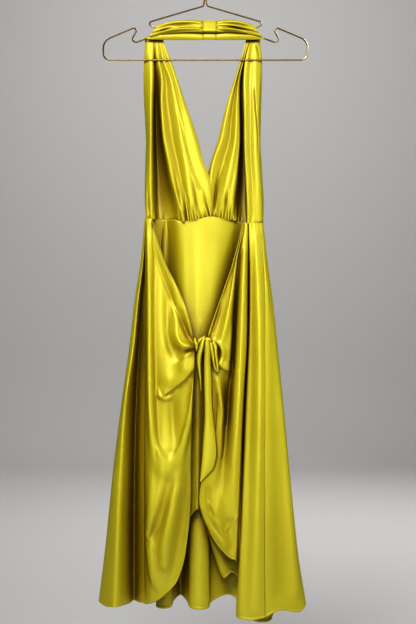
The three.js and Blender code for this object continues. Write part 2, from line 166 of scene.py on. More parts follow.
def crease(grid, path, width, height, lean, fade, columns):
    """Raises (height over 0, to the viewer) or sinks a soft fold along path, rows of (x, drop) in the front
    view. lean from -1 to 1 narrows one side of it, fade is the share of its length over which each end fades,
    and columns limits it to a share of the grid's width."""
    path = np.asarray(path, float)
    near = near_path(grid, path, 4 * width) & in_columns(grid, columns)
    points = grid[near][:, [0, 2]]
    legs = np.diff(path, axis=0)
    lengths = np.hypot(legs[:, 0], legs[:, 1])
    run = np.concatenate([[0], np.cumsum(lengths)])
    nearest = np.full(len(points), np.inf)
    side = np.zeros(len(points))
    place = np.zeros(len(points))
    for start, leg, length, before in zip(path, legs, lengths, run):
        away = points - start
        share = np.clip((away @ leg) / length ** 2, 0, 1)
        off = away - share[:, None] * leg
        distance = np.hypot(off[:, 0], off[:, 1])
        closer = distance < nearest
        nearest = np.where(closer, distance, nearest)
        side = np.where(closer, np.sign(leg[0] * away[:, 1] - leg[1] * away[:, 0]), side)
        place = np.where(closer, (before + share * length) / run[-1], place)
    # side under 0 is to the right of a path that runs down
    leaning = side * (1 if lean >= 0 else -1) < 0
    widths = width * np.where(leaning, 1 - abs(lean) * 0.85, 1.0)
    taper = smoothstep(0, fade, place) * smoothstep(0, fade, 1 - place)
    grid[..., 1][near] -= height * np.exp(-(nearest / widths) ** 2) * taper


def creases(grid, rows, fade, columns=(0.0, 1.0)):
    """A crease for each row of width, height, lean and then the points (x, drop) of its path."""
    for width, height, lean, *path in rows:
        crease(grid, path, width, height, lean, fade, columns)


def fold(grid, path, steps=6, power=2.5):
    """Raises or sinks a soft fold along path, rows of (x, drop, rise, right, left): rise is toward the
    viewer, and right and left are the widths of its two sides, or one width for both. For a path that runs
    down, right is the viewer's right. A higher power gives a flatter top and steeper sides."""
    rows = np.array([row if len(row) == 5 else (*row, row[-1]) for row in path], float)
    gaps = np.hypot(*np.diff(rows[:, :2], axis=0).T)
    run = np.concatenate([[0], np.cumsum(gaps)])
    rows = curve_through(run, rows, np.linspace(0, run[-1], (len(rows) - 1) * steps + 1))
    near = near_path(grid, rows[:, :2], 2.6 * rows[:, 3:].max())
    points = grid[near][:, [0, 2]]
    nearest = np.full(len(points), np.inf)
    rise = np.zeros(len(points))
    for start, end in zip(rows[:-1], rows[1:]):
        leg = end[:2] - start[:2]
        away = points - start[:2]
        share = np.clip((away @ leg) / (leg @ leg), 0, 1)
        distance = np.hypot(*(away - share[:, None] * leg).T)
        here = start[2:] + share[:, None] * (end[2:] - start[2:])
        on_right = leg[0] * away[:, 1] - leg[1] * away[:, 0] < 0
        distance = distance / np.where(on_right, here[:, 1], here[:, 2])
        closer = distance < nearest
        nearest = np.where(closer, distance, nearest)
        rise = np.where(closer, here[:, 0], rise)
    grid[..., 1][near] -= rise * np.exp(-nearest ** power)


def folds(grid, paths, **options):
    for path in paths:
        fold(grid, path, **options)


def turned_hem(grid):
    """The hem along the last row: a band that stands out a little, with a stitch line at its top."""
    down = run_along(grid, 0)
    up = down[-1][None, :] - down
    band = 1 - smoothstep(HEM_WIDTH - 0.8, HEM_WIDTH + 1.2, up)
    stitches = np.exp(-((up - HEM_WIDTH - 0.6) / 0.9) ** 2)
    grid[..., 1] += 0.6 * HEM_RISE * stitches - HEM_RISE * band


def rolled_edge(grid, width=1.6, rise=1.0):
    """The narrow rolled edge along the last column, with a fine groove beside it."""
    out = run_along(grid, 1)
    inward = out[:, -1][:, None] - out
    grid[..., 1] -= rise * np.exp(-(inward / width) ** 2)
    grid[..., 1] += 0.5 * rise * np.exp(-((inward - 2.2 * width) / width) ** 2)


def seam_stays(grid, seam_y, reach=12.0):
    """Brings the first column back to its depth seam_y, and the cloth within reach of it part of the way."""
    fade = 1 - smoothstep(0, reach, run_along(grid, 1))
    grid[..., 1] += (seam_y - grid[:, 0, 1])[:, None] * fade


# ---------------------------------------------------------------- materials

def fill(node, inputs):
    """Sets each input of a node, by its name or number, to a value, or links the given output to it."""
    for key, value in inputs.items():
        if isinstance(value, bpy.types.NodeSocket):
            node.id_data.links.new(value, node.inputs[key])
        else:
            node.inputs[key].default_value = value


def node_of(tree, kind, inputs, **settings):
    node = tree.nodes.new(kind)
    for key, value in settings.items():
        setattr(node, key, value)
    fill(node, inputs)
    return node


def ramp_of(tree, factor, dark, light):
    """A colour ramp from dark to light."""
    ramp = node_of(tree, "ShaderNodeValToRGB", {"Fac": factor})
    ramp.color_ramp.elements[0].color = (*dark, 1)
    ramp.color_ramp.elements[1].color = (*light, 1)
    return ramp


def new_material(name):
    """A material, with its node tree and its Principled BSDF."""
    mat = bpy.data.materials.new(name)
    mat.use_nodes = True
    return mat, mat.node_tree, mat.node_tree.nodes["Principled BSDF"]


def satin_material(name, light, deep, roughness):
    """Satin: a smooth float-faced weave, its colour a little uneven between deep and light, with fine slub,
    painted shade that turns it darker and browner in close folds and hollows, and soft handling marks in the
    bump."""
    mat, tree, bsdf = new_material(name)
    coords = node_of(tree, "ShaderNodeTexCoord", {})

    def noise(scale, detail, rough, stretch):
        mapping = node_of(tree, "ShaderNodeMapping", {"Vector": coords.outputs["Object"], "Scale": stretch})
        return node_of(tree, "ShaderNodeTexNoise", {
            "Vector": mapping.outputs["Vector"], "Scale": scale, "Detail": detail, "Roughness": rough,
        }).outputs["Fac"]

    def multiply_add(value, factor, plus):
        inputs = {0: value, 1: factor, 2: plus}
        return node_of(tree, "ShaderNodeMath", inputs, operation="MULTIPLY_ADD").outputs[0]

    patches = multiply_add(noise(9.0, 3.0, 0.5, (1, 1, 1)), 1.1, -0.05)
    slub = noise(260.0, 2.0, 0.6, (1, 1, 0.05))
    dyed = node_of(tree, "ShaderNodeMix", {
        "Factor": multiply_add(slub, 0.16, patches), "A": (*deep, 1), "B": (*light, 1),
    }, data_type="RGBA")
    # Painted shade: where ambient occlusion finds close folds, creases and hollows, the colour is made darker
    # and browner, standing in for the shade there and the light bounced between the folds.
    shade = node_of(tree, "ShaderNodeAmbientOcclusion", {"Distance": 0.065}, samples=6)
    depth = ramp_of(tree, shade.outputs["AO"], (0.17, 0.11, 0.0), (1, 1, 1))
    depth.color_ramp.elements[0].position = 0.26
    depth.color_ramp.elements[1].position = 0.95
    depth.color_ramp.elements.new(0.62).color = (0.6, 0.49, 0.15, 1)
    colour_with_painted_shade = node_of(tree, "ShaderNodeMix", {
        "Factor": 1.0, "A": dyed.outputs["Result"], "B": depth.outputs["Color"],
    }, data_type="RGBA", blend_type="MULTIPLY")

    # Bump: fine weave, and the soft wrinkles left by handling.
    weave = node_of(tree, "ShaderNodeTexWave", {
        "Vector": coords.outputs["UV"], "Scale": 900.0, "Distortion": 1.5, "Detail": 1.0,
    }, wave_type="BANDS", bands_direction="DIAGONAL")
    fine = node_of(tree, "ShaderNodeBump", {
        "Height": weave.outputs["Fac"], "Strength": 0.05, "Distance": 0.0003,
    })
    soft = node_of(tree, "ShaderNodeBump", {
        "Height": noise(38.0, 4.0, 0.55, (1, 1, 0.55)), "Normal": fine.outputs["Normal"],
        "Strength": 0.22, "Distance": 0.0025,
    })
    tangent = node_of(tree, "ShaderNodeTangent", {}, direction_type="UV_MAP", uv_map="UVMap")
    # The base colour carries the painted shade of the folds and hollows.
    fill(bsdf, {
        "Base Color": colour_with_painted_shade.outputs["Result"],
        "Roughness": multiply_add(slub, 0.08, roughness - 0.04),
        "Metallic": 0.3,
        "Specular IOR Level": 0.8,
        "Specular Tint": (0.93, 0.98, 0.72, 1),
        "Coat Weight": 0.4,
        "Coat Roughness": 0.42,
        "Anisotropic": 0.6,
        "Anisotropic Rotation": 0.25,
        "Tangent": tangent.outputs["Tangent"],
        "Normal": soft.outputs["Normal"],
    })
    return mat


def brass_material():
    """Brassy wire, with patches a little duller and darker."""
    mat, tree, bsdf = new_material("brass_wire")
    coords = node_of(tree, "ShaderNodeTexCoord", {})
    patches = node_of(tree, "ShaderNodeTexNoise", {
        "Vector": coords.outputs["Object"], "Scale": 120.0, "Detail": 4.0,
    }).outputs["Fac"]
    rough = node_of(tree, "ShaderNodeMapRange", {"Value": patches, "To Min": 0.22, "To Max": 0.4})
    bump = node_of(tree, "ShaderNodeBump", {"Height": patches, "Strength": 0.15, "Distance": 0.0004})
    fill(bsdf, {
        "Base Color": ramp_of(tree, patches, (0.42, 0.27, 0.10), (0.72, 0.55, 0.27)).outputs["Color"],
        "Roughness": rough.outputs["Result"],
        "Metallic": 1.0,
        "Normal": bump.outputs["Normal"],
    })
    return mat


def paper_material(name, colour):
    """Plain matt paper, hardly uneven."""
    mat, tree, bsdf = new_material(name)
    clouds = node_of(tree, "ShaderNodeTexNoise", {"Scale": 2.5}).outputs["Fac"]
    darker = [0.97 * share for share in colour]
    fill(bsdf, {"Base Color": ramp_of(tree, clouds, darker, colour).outputs["Color"], "Roughness": 0.9})
    return mat


SATIN_FACE = satin_material(
    "satin_face", light=(0.73, 0.655, 0.035), deep=(0.64, 0.545, 0.012), roughness=0.58)


# ---------------------------------------------------------------- pieces

def mesh_from_grid(name, grid):
    """An open sheet with UVs in metres: u along the rows, v along the columns from the last row."""
    rows, columns = grid.shape[:2]
    points = np.column_stack([grid[..., 0].ravel(), grid[..., 1].ravel(), -grid[..., 2].ravel()]) * MM
    j, i = np.meshgrid(np.arange(rows - 1), np.arange(columns - 1), indexing="ij")
    first = (j * columns + i).ravel()
    faces = np.column_stack([first, first + columns, first + columns + 1, first + 1])
    mesh = bpy.data.meshes.new(name)
    mesh.from_pydata(points.tolist(), [], faces.tolist())
    down = run_along(grid, 0)
    uv = np.column_stack([run_along(grid, 1).ravel(), (down[-1][None, :] - down).ravel()]) * MM
    loops = np.empty(len(mesh.loops), dtype=np.int32)
    mesh.loops.foreach_get("vertex_index", loops)
    mesh.uv_layers.new(name="UVMap").data.foreach_set("uv", uv[loops].ravel().astype(np.float32))
    mesh.polygons.foreach_set("use_smooth", np.ones(len(mesh.polygons), dtype=bool))
    mesh.update()
    return mesh


def piece(name, grid, node):
    """A piece of satin on the root body, shown in place of a CAD node."""
    mesh = mesh_from_grid(name, grid)
    mesh.materials.append(SATIN_FACE)
    obj = bpy.data.objects.new(name, mesh)
    bpy.context.scene.collection.objects.link(obj)
    solid = obj.modifiers.new("thickness", "SOLIDIFY")
    solid.thickness = SATIN * MM
    solid.offset = 0.0
    solid.use_even_offset = False
    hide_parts(node)
    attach(obj, "root")
    return obj


# ---------------------------------------------------------------- hanger

brass = brass_material()
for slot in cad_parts["hanger_wire"].material_slots:
    slot.material = brass


# ---------------------------------------------------------------- bodice

STATIONS = (150, 190, 231, 271, 312, 352, 392, 431, 471, 510)

# A row per fold line: x at each station, then how far the cloth lies behind (+) or before (-) its carrying
# surface, whose y at each station is BODICE_CARRIER.
BODICE_CARRIER = (3, 3, 3, 0, -2, -4, -6, -8, -9, -9)
BODICE_LEFT = (
    # outer edge
    ((-120, -122, -123, -122, -120, -118, -119, -120, -120, -118), (2, 3, 6, 8, 9, 9, 9, 8, 6, 2)),
    ((-115, -116, -116, -116, -115, -114, -115, -117, -117, -114), (0, 0, -1, -2, -2, -2, -1, -1, 0, 0)),
    ((-109, -109, -108, -108, -108, -108, -109, -109, -109, -107),
     (0, -2, -6, -10, -12, -12, -11, -9, -6, -2)),
    ((-104, -104, -103, -103, -103, -103, -103, -103, -103, -101),
     (0, -1, -2, -2, -2, -2, -2, -2, -1, 0)),
    # deep valley
    ((-102, -101, -100, -100, -100, -99, -98, -97, -96, -94), (0, 5, 13, 19, 23, 26, 28, 29, 28, 22)),
    ((-99, -98, -96, -95, -92, -89, -84, -78, -71, -64), (0, 1, 9, 14, 16, 17, 18, 18, 17, 13)),
    # side of the cup
    ((-96, -93, -87, -88, -86, -82, -74, -66, -54, -44), (0, -2, -5, -8, -10, -11, -11, -11, -9, -4)),
    ((-93, -89, -79, -77, -72, -66, -57, -49, -42, -36), (0, 1, 1, 1, 1, 1, 0, -1, -1, 0)),
    ((-91, -84, -69, -61, -54, -49, -42, -36, -31, -24), (0, -2, -5, -7, -8, -9, -9, -9, -8, -4)),
    ((-89, -78, -64, -53, -43, -35, -26, -17, -13, -9), (0, 0, -2, -4, -6, -7, -7, -7, -5, -2)),
    ((-87, -73, -59, -47, -34, -22, -12, 1, 5, 5), (0, -2, -4, -6, -7, -8, -8, -8, -7, -4)),
    # neckline
    ((-85, -69, -55, -42, -28, -15, -5, 9, 12, 11), (0, 0, -1, -2, -3, -3, -4, -5, -5, -4)),
)
BODICE_RIGHT = (
    # neckline
    ((81, 70, 57, 45, 34, 25, 12, 3, 1, 1), (0, 0, -1, -2, -2, -2, -1, 1, 2, 2)),
    ((83, 72, 60, 50, 41, 33, 18, 11, 10, 12), (0, -1, -3, -4, -6, -7, -7, -6, -4, -1)),
    ((85, 74, 63, 56, 51, 47, 36, 26, 19, 21), (0, 1, 1, 1, 1, 1, 1, 1, 1, 0)),
    ((87, 76, 66, 62, 60, 58, 50, 42, 35, 34), (0, -1, -3, -5, -7, -9, -9, -9, -7, -3)),
    ((88, 77, 67, 65, 65, 64, 60, 53, 47, 46), (0, 0, -2, -4, -6, -7, -8, -8, -7, -3)),
    # side of the cup
    ((90, 78, 69, 68, 69, 69, 66, 62, 57, 58), (0, 2, 1, 0, -1, -2, -4, -5, -5, -2)),
    # deep valley
    ((91, 79, 71, 71, 72, 72, 72, 70, 67, 68), (0, 6, 13, 18, 22, 24, 25, 25, 23, 15)),
    ((91, 81, 76, 76, 78, 79, 80, 82, 82, 83), (0, 6, 13, 18, 22, 24, 25, 25, 22, 15)),
    # fold over the cup
    ((90, 79, 75, 75, 76, 76, 77, 79, 81, 82), (-1, -1, -3, -6, -8, -8, -8, -7, -6, -2)),
    ((92, 84, 82, 82, 82, 83, 84, 86, 88, 88), (0, -2, -4, -8, -10, -10, -10, -10, -8, -3)),
    ((95, 90, 88, 88, 88, 88, 89, 92, 93, 94), (0, 0, -2, -5, -7, -7, -7, -7, -6, -2)),
    ((100, 98, 98, 98, 98, 98, 99, 101, 103, 103), (0, -2, -5, -9, -11, -11, -11, -10, -8, -3)),
    ((104, 106, 106, 106, 105, 105, 106, 108, 110, 110), (0, -1, -3, -6, -8, -8, -8, -8, -6, -2)),
    # outer edge
    ((108, 112, 112, 111, 110, 109, 111, 113, 115, 114), (2, 3, 3, 3, 3, 3, 3, 3, 3, 2)),
)


def bodice_lines(table):
    return [
        [(drop, x, carrier + relief)
         for drop, x, carrier, relief in zip(STATIONS, xs, BODICE_CARRIER, reliefs)]
        for xs, reliefs in table
    ]


WAIST_X = (-122, -94, -60, -50, -39, -13, 7, 21, 38, 64, 82, 100, 116)
WAIST_DROPS = (508, 509, 510, 515, 514, 510, 504, 506, 509, 512, 518, 514, 512)


def waist_drop(x):
    """Drop of the waist seam, which rises to the middle and dips beside the cups."""
    return np.interp(x, WAIST_X, WAIST_DROPS)


# The hanger's bar slopes down from the middle to both sides: its drop at one x, and its fall over a length.
BAR_X, BAR_DROP = 82.0, 137.0
BAR_LENGTH, BAR_FALL = 70.7, 25.4


def lap_over_wire(grid, radius=3.0, rows=14, turn=2.8):
    """Adds the rows that turn over the wire, above the first row. turn is in radians."""
    top = grid[0]
    wire_drop = BAR_DROP + (np.abs(top[:, 0]) - BAR_X) / BAR_LENGTH * BAR_FALL
    added = []
    for k in range(rows, 0, -1):
        angle = turn * k / rows
        ring = top.copy()
        ring[:, 1] = radius * math.cos(angle)
        ring[:, 2] = wire_drop - radius * math.sin(angle)
        added.append(ring)
    return np.concatenate([np.array(added), grid], axis=0)


def to_waist(grid, above=380, below=510, gap=0.5):
    """Stretches the part of the grid between the drops above and below, so that it ends at the waist seam."""
    last = grid[-1, :, 2]
    wanted = waist_drop(grid[-1, :, 0]) + gap
    grid[..., 2] += smoothstep(above, below, grid[..., 2]) * (wanted - last)[None, :]


def start_at_waist(grid, tuck=2.0):
    """Moves the top of a skirt panel to the waist seam, tucked a little under it. The move fades further
    down, and a column that starts well below the seam keeps its place."""
    top = grid[0, :, 2].copy()
    share = 1 - smoothstep(516, 600, grid[..., 2])
    near = 1 - smoothstep(516, 540, top)
    grid[..., 2] += share * (near * (waist_drop(grid[0, :, 0]) - tuck - top))[None, :]


def gathers(grid, x_from, x_to, count, depth, seed, apex, reach=(14, 75), columns=(0.0, 1.0)):
    """Pleats at the waist seam: narrow valleys that run up toward apex, fading, with round cloth between
    them. reach gives the shortest and the longest."""
    rng = np.random.default_rng(seed)
    gap = (x_to - x_from) / (count - 1)
    allowed = in_columns(grid, columns)
    x, drop = grid[..., 0], grid[..., 2]
    for k in range(count):
        at = x_from + gap * (k + rng.uniform(-0.3, 0.3))
        foot = float(waist_drop(at)) + 2
        length = reach[0] + (reach[1] - reach[0]) * rng.uniform(0, 1) ** 1.4
        sink = depth * rng.uniform(0.55, 1.2)
        width = rng.uniform(1.2, 1.9)
        up = np.clip((foot - drop) / length, 0, 1.2)
        slant = (apex[0] - at) / (foot - apex[1])
        centre = at + slant * (foot - drop) + rng.uniform(-1, 1) * np.sin(up * 3)
        off = x - centre
        fade = 1 - smoothstep(0.1, 1.0, up)
        valley = sink * np.exp(-(np.abs(off) / (width * (1 + 0.9 * up))) ** 1.6)
        crest = 0.45 * sink * np.exp(-((off - 0.5 * gap) / (0.35 * gap * (1 + up))) ** 2)
        grid[..., 1] += np.where(allowed & (drop < foot + 9), fade * (valley - crest), 0)


def puckers(grid, seed, gap, depth=0.8):
    """Small tucks below the waist seam, where its thread pulls the cloth."""
    rng = np.random.default_rng(seed)
    x, drop = grid[..., 0], grid[..., 2]
    low, high = float(x.min()), float(x.max())
    away = drop - waist_drop(x)
    for k in range(int((high - low) / gap)):
        at = low + gap * (k + rng.uniform(0.1, 0.9))
        length = rng.uniform(4, 13)
        sink = depth * rng.uniform(0.4, 1.0)
        width = rng.uniform(0.9, 1.7)
        lean = rng.uniform(-0.12, 0.12)
        fade = 1 - smoothstep(0.15 * length, length, away)
        grid[..., 1] += sink * fade * np.exp(-((x - at - lean * away) / width) ** 2)


bodice_left = surface(bodice_lines(BODICE_LEFT), rows=190, per_fold=12, valley=0.4)
to_waist(bodice_left)
bodice_left = soften(bodice_left, 14, edges=False)
fold(bodice_left, (
    (-62, 270, 0, 2), (-45, 335, -1.6, 2), (-36, 374, -2, 2), (-25, 413, -1.6, 2), (-11, 452, -1, 2),
))
gathers(bodice_left, x_from=-50, x_to=9, count=13, depth=4.5, seed=4, apex=(-100, 100))
gathers(bodice_left, x_from=-114, x_to=-88, count=4, depth=2.0, seed=9, apex=(-108, 100), reach=(12, 40))
creases(bodice_left, (
    (2.6, -5.0, 0.0, (-41, 512), (-49, 475), (-58, 430), (-62, 400)),
    (2.2, -3.5, 0.0, (-27, 512), (-35, 470), (-42, 440)),
    (2.4, -4.0, -0.3, (-12, 512), (-18, 480), (-23, 450), (-31, 410)),
    (2.0, -4.0, 0.0, (-110, 512), (-112, 480), (-114, 440)),
), fade=0.5)
bodice_left = lap_over_wire(bodice_left)

# The cup takes up the left columns of the right bodice, and the side that overlaps it the right ones.
bodice_right = surface(bodice_lines(BODICE_RIGHT), rows=190, per_fold=10, valley=0.4)
to_waist(bodice_right)
bodice_right = soften(bodice_right, 12, edges=False)
gathers(bodice_right, x_from=14, x_to=68, count=11, depth=4.2, seed=12, apex=(90, 90), columns=(0, 0.48))
gathers(bodice_right, x_from=88, x_to=112, count=3, depth=1.6, seed=5, apex=(98, 120), reach=(8, 24),
        columns=(0.62, 1))
creases(bodice_right, (
    (2.4, -5.0, 0.2, (17, 512), (18, 475), (22, 440), (32, 400)),
    (2.2, -3.5, 0.0, (39, 512), (41, 470), (45, 440)),
    (2.2, -4.0, 0.0, (56, 512), (59, 480), (63, 450)),
), fade=0.5, columns=(0.0, 0.48))
creases(bodice_right, (
    (1.6, -3.0, -0.4, (95, 235), (98, 290), (103, 340), (105, 390)),
    (1.4, -2.0, 0.0, (100, 160), (104, 175), (107, 190)),
), fade=0.2, columns=(0.6, 1.0))
bodice_right = lap_over_wire(bodice_right)


# ---------------------------------------------------------------- neck band

JOIN_LEFT = -6.0       # x of the keeper's ends
JOIN_RIGHT = 22.0
KEEPER_FRONT = -14.2   # y of its flat front

# Across the band, from the lower edge in front over the top to the lower edge behind: drop and y at the
# keeper, drop and y half way out, then x, drop and y where it turns over the wire.
NECK_BAND = (
    (139.5, -9, 140, -10, 111, 147.5, -7),
    (137.5, -12, 137.5, -13.5, 110.5, 146, -8.5),
    (134.5, -12.5, 134.5, -15.5, 109.5, 143.5, -8.5),
    (131.5, -11, 132, -11.5, 107, 141, -8),
    (127.5, -12.8, 127.5, -15.5, 104, 137.5, -9.5),
    (124, -12, 124, -12.5, 101, 133.5, -9),
    (120.5, -12, 120, -14.5, 98, 129, -9),
    (117.5, -10.5, 116.8, -12, 94.5, 125, -7.5),
    (117, -7.5, 116, -8, 93, 124, -6),
    (121, -5, 122, -5, 94.5, 128, -4.8),
    (134, -4.2, 134, -4.4, 101, 138, -4.6),
    (145, -6.2, 144.5, -8.5, 110, 145, -5),
    (150, -6, 150, -7.5, 115, 149.5, -5),
    (153, -4.6, 153, -5, 118, 151.5, -4.6),
)
NECK_FRONT_LINES = 8   # of these lines, the ones in front

NECK_LEFT_FOLDS = (
    # ridge under the top edge, then the valley that ends in a dark fold, and the folds below
    ((-9, 122, 0.8, 2.4), (-40, 119.5, 1.6, 3), (-72, 121, 2.2, 3.4), (-96, 130, 1.2, 3)),
    ((-9, 127, -1.2, 1.6), (-36, 125, -2.2, 2.2), (-66, 129, -3.2, 2.6), (-86, 136, -1.6, 2.4)),
    ((-12, 131, 0.8, 2.4), (-48, 131, 2.2, 3), (-84, 139, 1.6, 3)),
    ((-10, 135.5, -1.0, 1.4), (-50, 137, -2.0, 2), (-92, 143, -1.6, 2)),
)
NECK_RIGHT_FOLDS = (
    ((25, 122.5, 0.8, 2.4), (48, 119.5, 1.8, 3), (72, 121, 2.2, 3.4), (94, 131, 1.2, 3)),
    ((25, 127.5, -1.2, 1.6), (44, 128, -2.6, 2.2), (66, 133, -3.0, 2.6), (96, 141, -1.4, 2.4)),
    ((26, 131.5, 0.8, 2.4), (50, 133.5, 2.2, 2.6), (80, 139, 1.6, 3)),
    ((25, 135, -1.2, 1.4), (42, 137.5, -2.8, 1.8), (62, 141, -2.4, 2), (96, 146, -1.0, 2)),
)


def bow(start, middle, end, t):
    """The parabola from start through middle, at t 0.5, to end."""
    return start + (4 * middle - 3 * start - end) * t + 2 * (start - 2 * middle + end) * t * t


def neck_half(side, join_x, paths):
    """The half of the band from the keeper, at join_x, to the wire on one side, -1 or 1."""
    per_line = 6
    t = np.linspace(0, 1, 111)
    lines = []
    for join_drop, join_y, mid_drop, mid_y, end_x, end_drop, end_y in NECK_BAND:
        x = join_x + (side * end_x - join_x) * t
        y = bow(join_y, mid_y, end_y, t)
        lines.append(np.column_stack([x, y, bow(join_drop, mid_drop, end_drop, t)]))
    grid = across_folds(np.array(lines), per_line)
    folds(grid[:, :NECK_FRONT_LINES * per_line], paths)
    return soften(grid, 1)


def keeper():
    """The flat band over the middle, pressed a little narrower at its ends, where it is sewn."""
    length = JOIN_RIGHT - JOIN_LEFT
    t = np.linspace(0, 1, 41)
    from_end = np.minimum(t, 1 - t) * length
    pressed = 1.1 * np.exp(-((from_end - 1.6) / 0.8) ** 2)
    lines = []
    for drop, y, *_ in NECK_BAND:
        flat = KEEPER_FRONT + (drop - 128) * 0.06 if y < -10 else y - 0.8
        lines.append(np.column_stack([
            JOIN_LEFT + length * t, flat + pressed - 0.5 * np.sin(math.pi * t), np.full(len(t), drop)]))
    return across_folds(np.array(lines), 5)


# ---------------------------------------------------------------- skirt

# Fold lines: (drop, x, y) from the top edge to the hem.
BACK_LEFT = (
    # left seam
    ((514, -118, -9), (589, -119, -10), (668, -119, -10), (757, -120, -10), (866, -120, -9),
     (1024, -121, -9), (1183, -121, -9), (1268, -120, -8)),
    # right of the left valley
    ((514, -118, -8), (589, -119, -7), (668, -123, -5), (758, -125, -3), (867, -129, -1), (1026, -132, 0),
     (1185, -132, 1), (1268, -132, 1)),
    # left valley
    ((514, -118, -6), (589, -120, -3), (668, -127, 1), (758, -132, 6), (868, -138, 11), (1028, -142, 14),
     (1188, -143, 15), (1267, -143, 15)),
    # side of the left tube
    ((514, -118, -7), (589, -121, -6), (668, -128, -6), (758, -135, -4), (867, -143, -3),
     (1025, -148, -3), (1184, -150, -4), (1269, -151, -4)),
    # right of the left tube
    ((514, -118, -7), (589, -122, -9), (668, -130, -12), (757, -137, -15), (866, -149, -17),
     (1023, -155, -20), (1180, -159, -23), (1268, -162, -25)),
    # left tube
    ((514, -119, -8), (589, -123, -12), (669, -133, -17), (757, -142, -22), (865, -157, -28),
     (1021, -167, -36), (1176, -173, -41), (1267, -176, -44)),
    # outside of the left tube
    ((514, -119, -5), (589, -125, -8), (668, -137, -11), (757, -147, -14), (866, -162, -18),
     (1022, -180, -24), (1179, -189, -28), (1268, -197, -30)),
    # left side
    ((514, -120, -1), (589, -128, -2), (668, -140, -3), (758, -150, -4), (867, -165, -5),
     (1025, -184, -6), (1183, -201, -7), (1262, -211, -8)),
    # left side of the back
    ((516, -117, 3), (640, -131, 8), (757, -142, 11), (890, -158, 14), (1024, -172, 15), (1182, -188, 16),
     (1266, -196, 16)),
    # left of the back
    ((516, -106, 8), (640, -115, 16), (757, -124, 21), (890, -133, 27), (1024, -140, 31),
     (1182, -147, 34), (1262, -150, 36)),
)

BACK_RIGHT = (
    # right of the back
    ((516, 97, 9), (640, 110, 16), (757, 119, 21), (890, 127, 27), (1024, 137, 31), (1182, 150, 34),
     (1266, 158, 36)),
    # right side of the back
    ((516, 112, 4), (640, 124, 9), (757, 137, 12), (890, 149, 14), (1024, 162, 16), (1182, 178, 17),
     (1270, 189, 18)),
    # right side
    ((514, 114, -3), (589, 122, -3), (668, 133, -3), (758, 142, -3), (867, 153, -3), (1025, 168, -3),
     (1184, 185, -3), (1233, 193, -3), (1269, 199, -3)),
    # right shoulder
    ((514, 113, -5), (589, 121, -8), (668, 130, -11), (757, 139, -14), (866, 149, -16), (1023, 161, -18),
     (1180, 173, -20), (1229, 177, -21), (1282, 184, -23)),
    # right panel
    ((514, 110, -8), (590, 117, -13.5), (669, 124, -18.5), (757, 129, -24), (865, 134, -27),
     (1022, 138, -28.5), (1179, 142, -29), (1227, 144, -30), (1276, 146, -34)),
    # right seam
    ((514, 108, -8.85), (590, 114, -14.85), (669, 117, -20.85), (757, 117, -27.85), (865, 117, -31.85),
     (972, 116, -34.35), (1079, 116, -36.45), (1177, 116, -37.85), (1288, 117, -41.85)),
    # under the right wrap's seam
    ((514, 103, -8.2), (590, 109, -14.2), (669, 112, -20.2), (757, 113, -27.2), (865, 113, -31.2),
     (972, 112, -33.7), (1079, 111, -35.8), (1177, 111, -37.2), (1288, 112, -41.2)),
)

# The back is drawn into three round folds that stand into the skirt, seen through the opening: x of the
# crest at each station, then half its width and the drop of its hem.
BACK_STATIONS = (516, 640, 757, 890, 1024, 1182)
FOLD_GROWTH = (0.5, 0.62, 0.74, 0.85, 0.93, 1.0, 1.0)
INWARD_FOLDS = (
    ((-77, -84, -88, -91, -88, -84, -83), 20, 1281),
    ((-12, -12, -12, -12, -12, -12, -12), 25, 1283),
    ((58, 66, 72, 78, 92, 106, 112), 24, 1308),
)


def inward_fold(crest_xs, half, hem):
    """Five lines, from the left foot of a round fold over its crest to its right foot."""
    lines = []
    for across, back, rise in ((-1.0, 21, 12), (-0.72, 6, 2), (0.0, 0, 0), (0.72, 6, 2), (1.0, 21, 12)):
        crest_y = (9, 9, 9, 8, 6, 3, 2)
        drops = BACK_STATIONS + (hem - rise,)
        lines.append([(drop, x + across * half * grown, y + back * grown)
                      for drop, x, y, grown in zip(drops, crest_xs, crest_y, FOLD_GROWTH)])
    return lines


def hollow_between(left, right, hem):
    """The line half way between two folds, at the back."""
    line = []
    for k, (drop, grown) in enumerate(zip(BACK_STATIONS + (hem,), FOLD_GROWTH)):
        x = 0.5 * (left[0][k] + left[1] * grown + right[0][k] - right[1] * grown)
        line.append((drop, x, 12 + 26 * grown))
    return line


def back_lines():
    lines = list(BACK_LEFT)
    for k, row in enumerate(INWARD_FOLDS):
        if k:
            lines.append(hollow_between(INWARD_FOLDS[k - 1], row, 1262))
        lines += inward_fold(*row)
    return lines + list(BACK_RIGHT)


BACK_FOLDS = (
    # soft trough and ridge down the right side
    ((131, 660, -2, 12, 10), (139, 860, -5, 16, 12), (146, 1040, -6, 18, 14), (151, 1240, -6, 18, 14)),
    ((138, 700, 2, 6, 8), (152, 880, 4, 8, 10), (166, 1040, 5, 9, 11), (183, 1240, 5, 9, 12)),
)

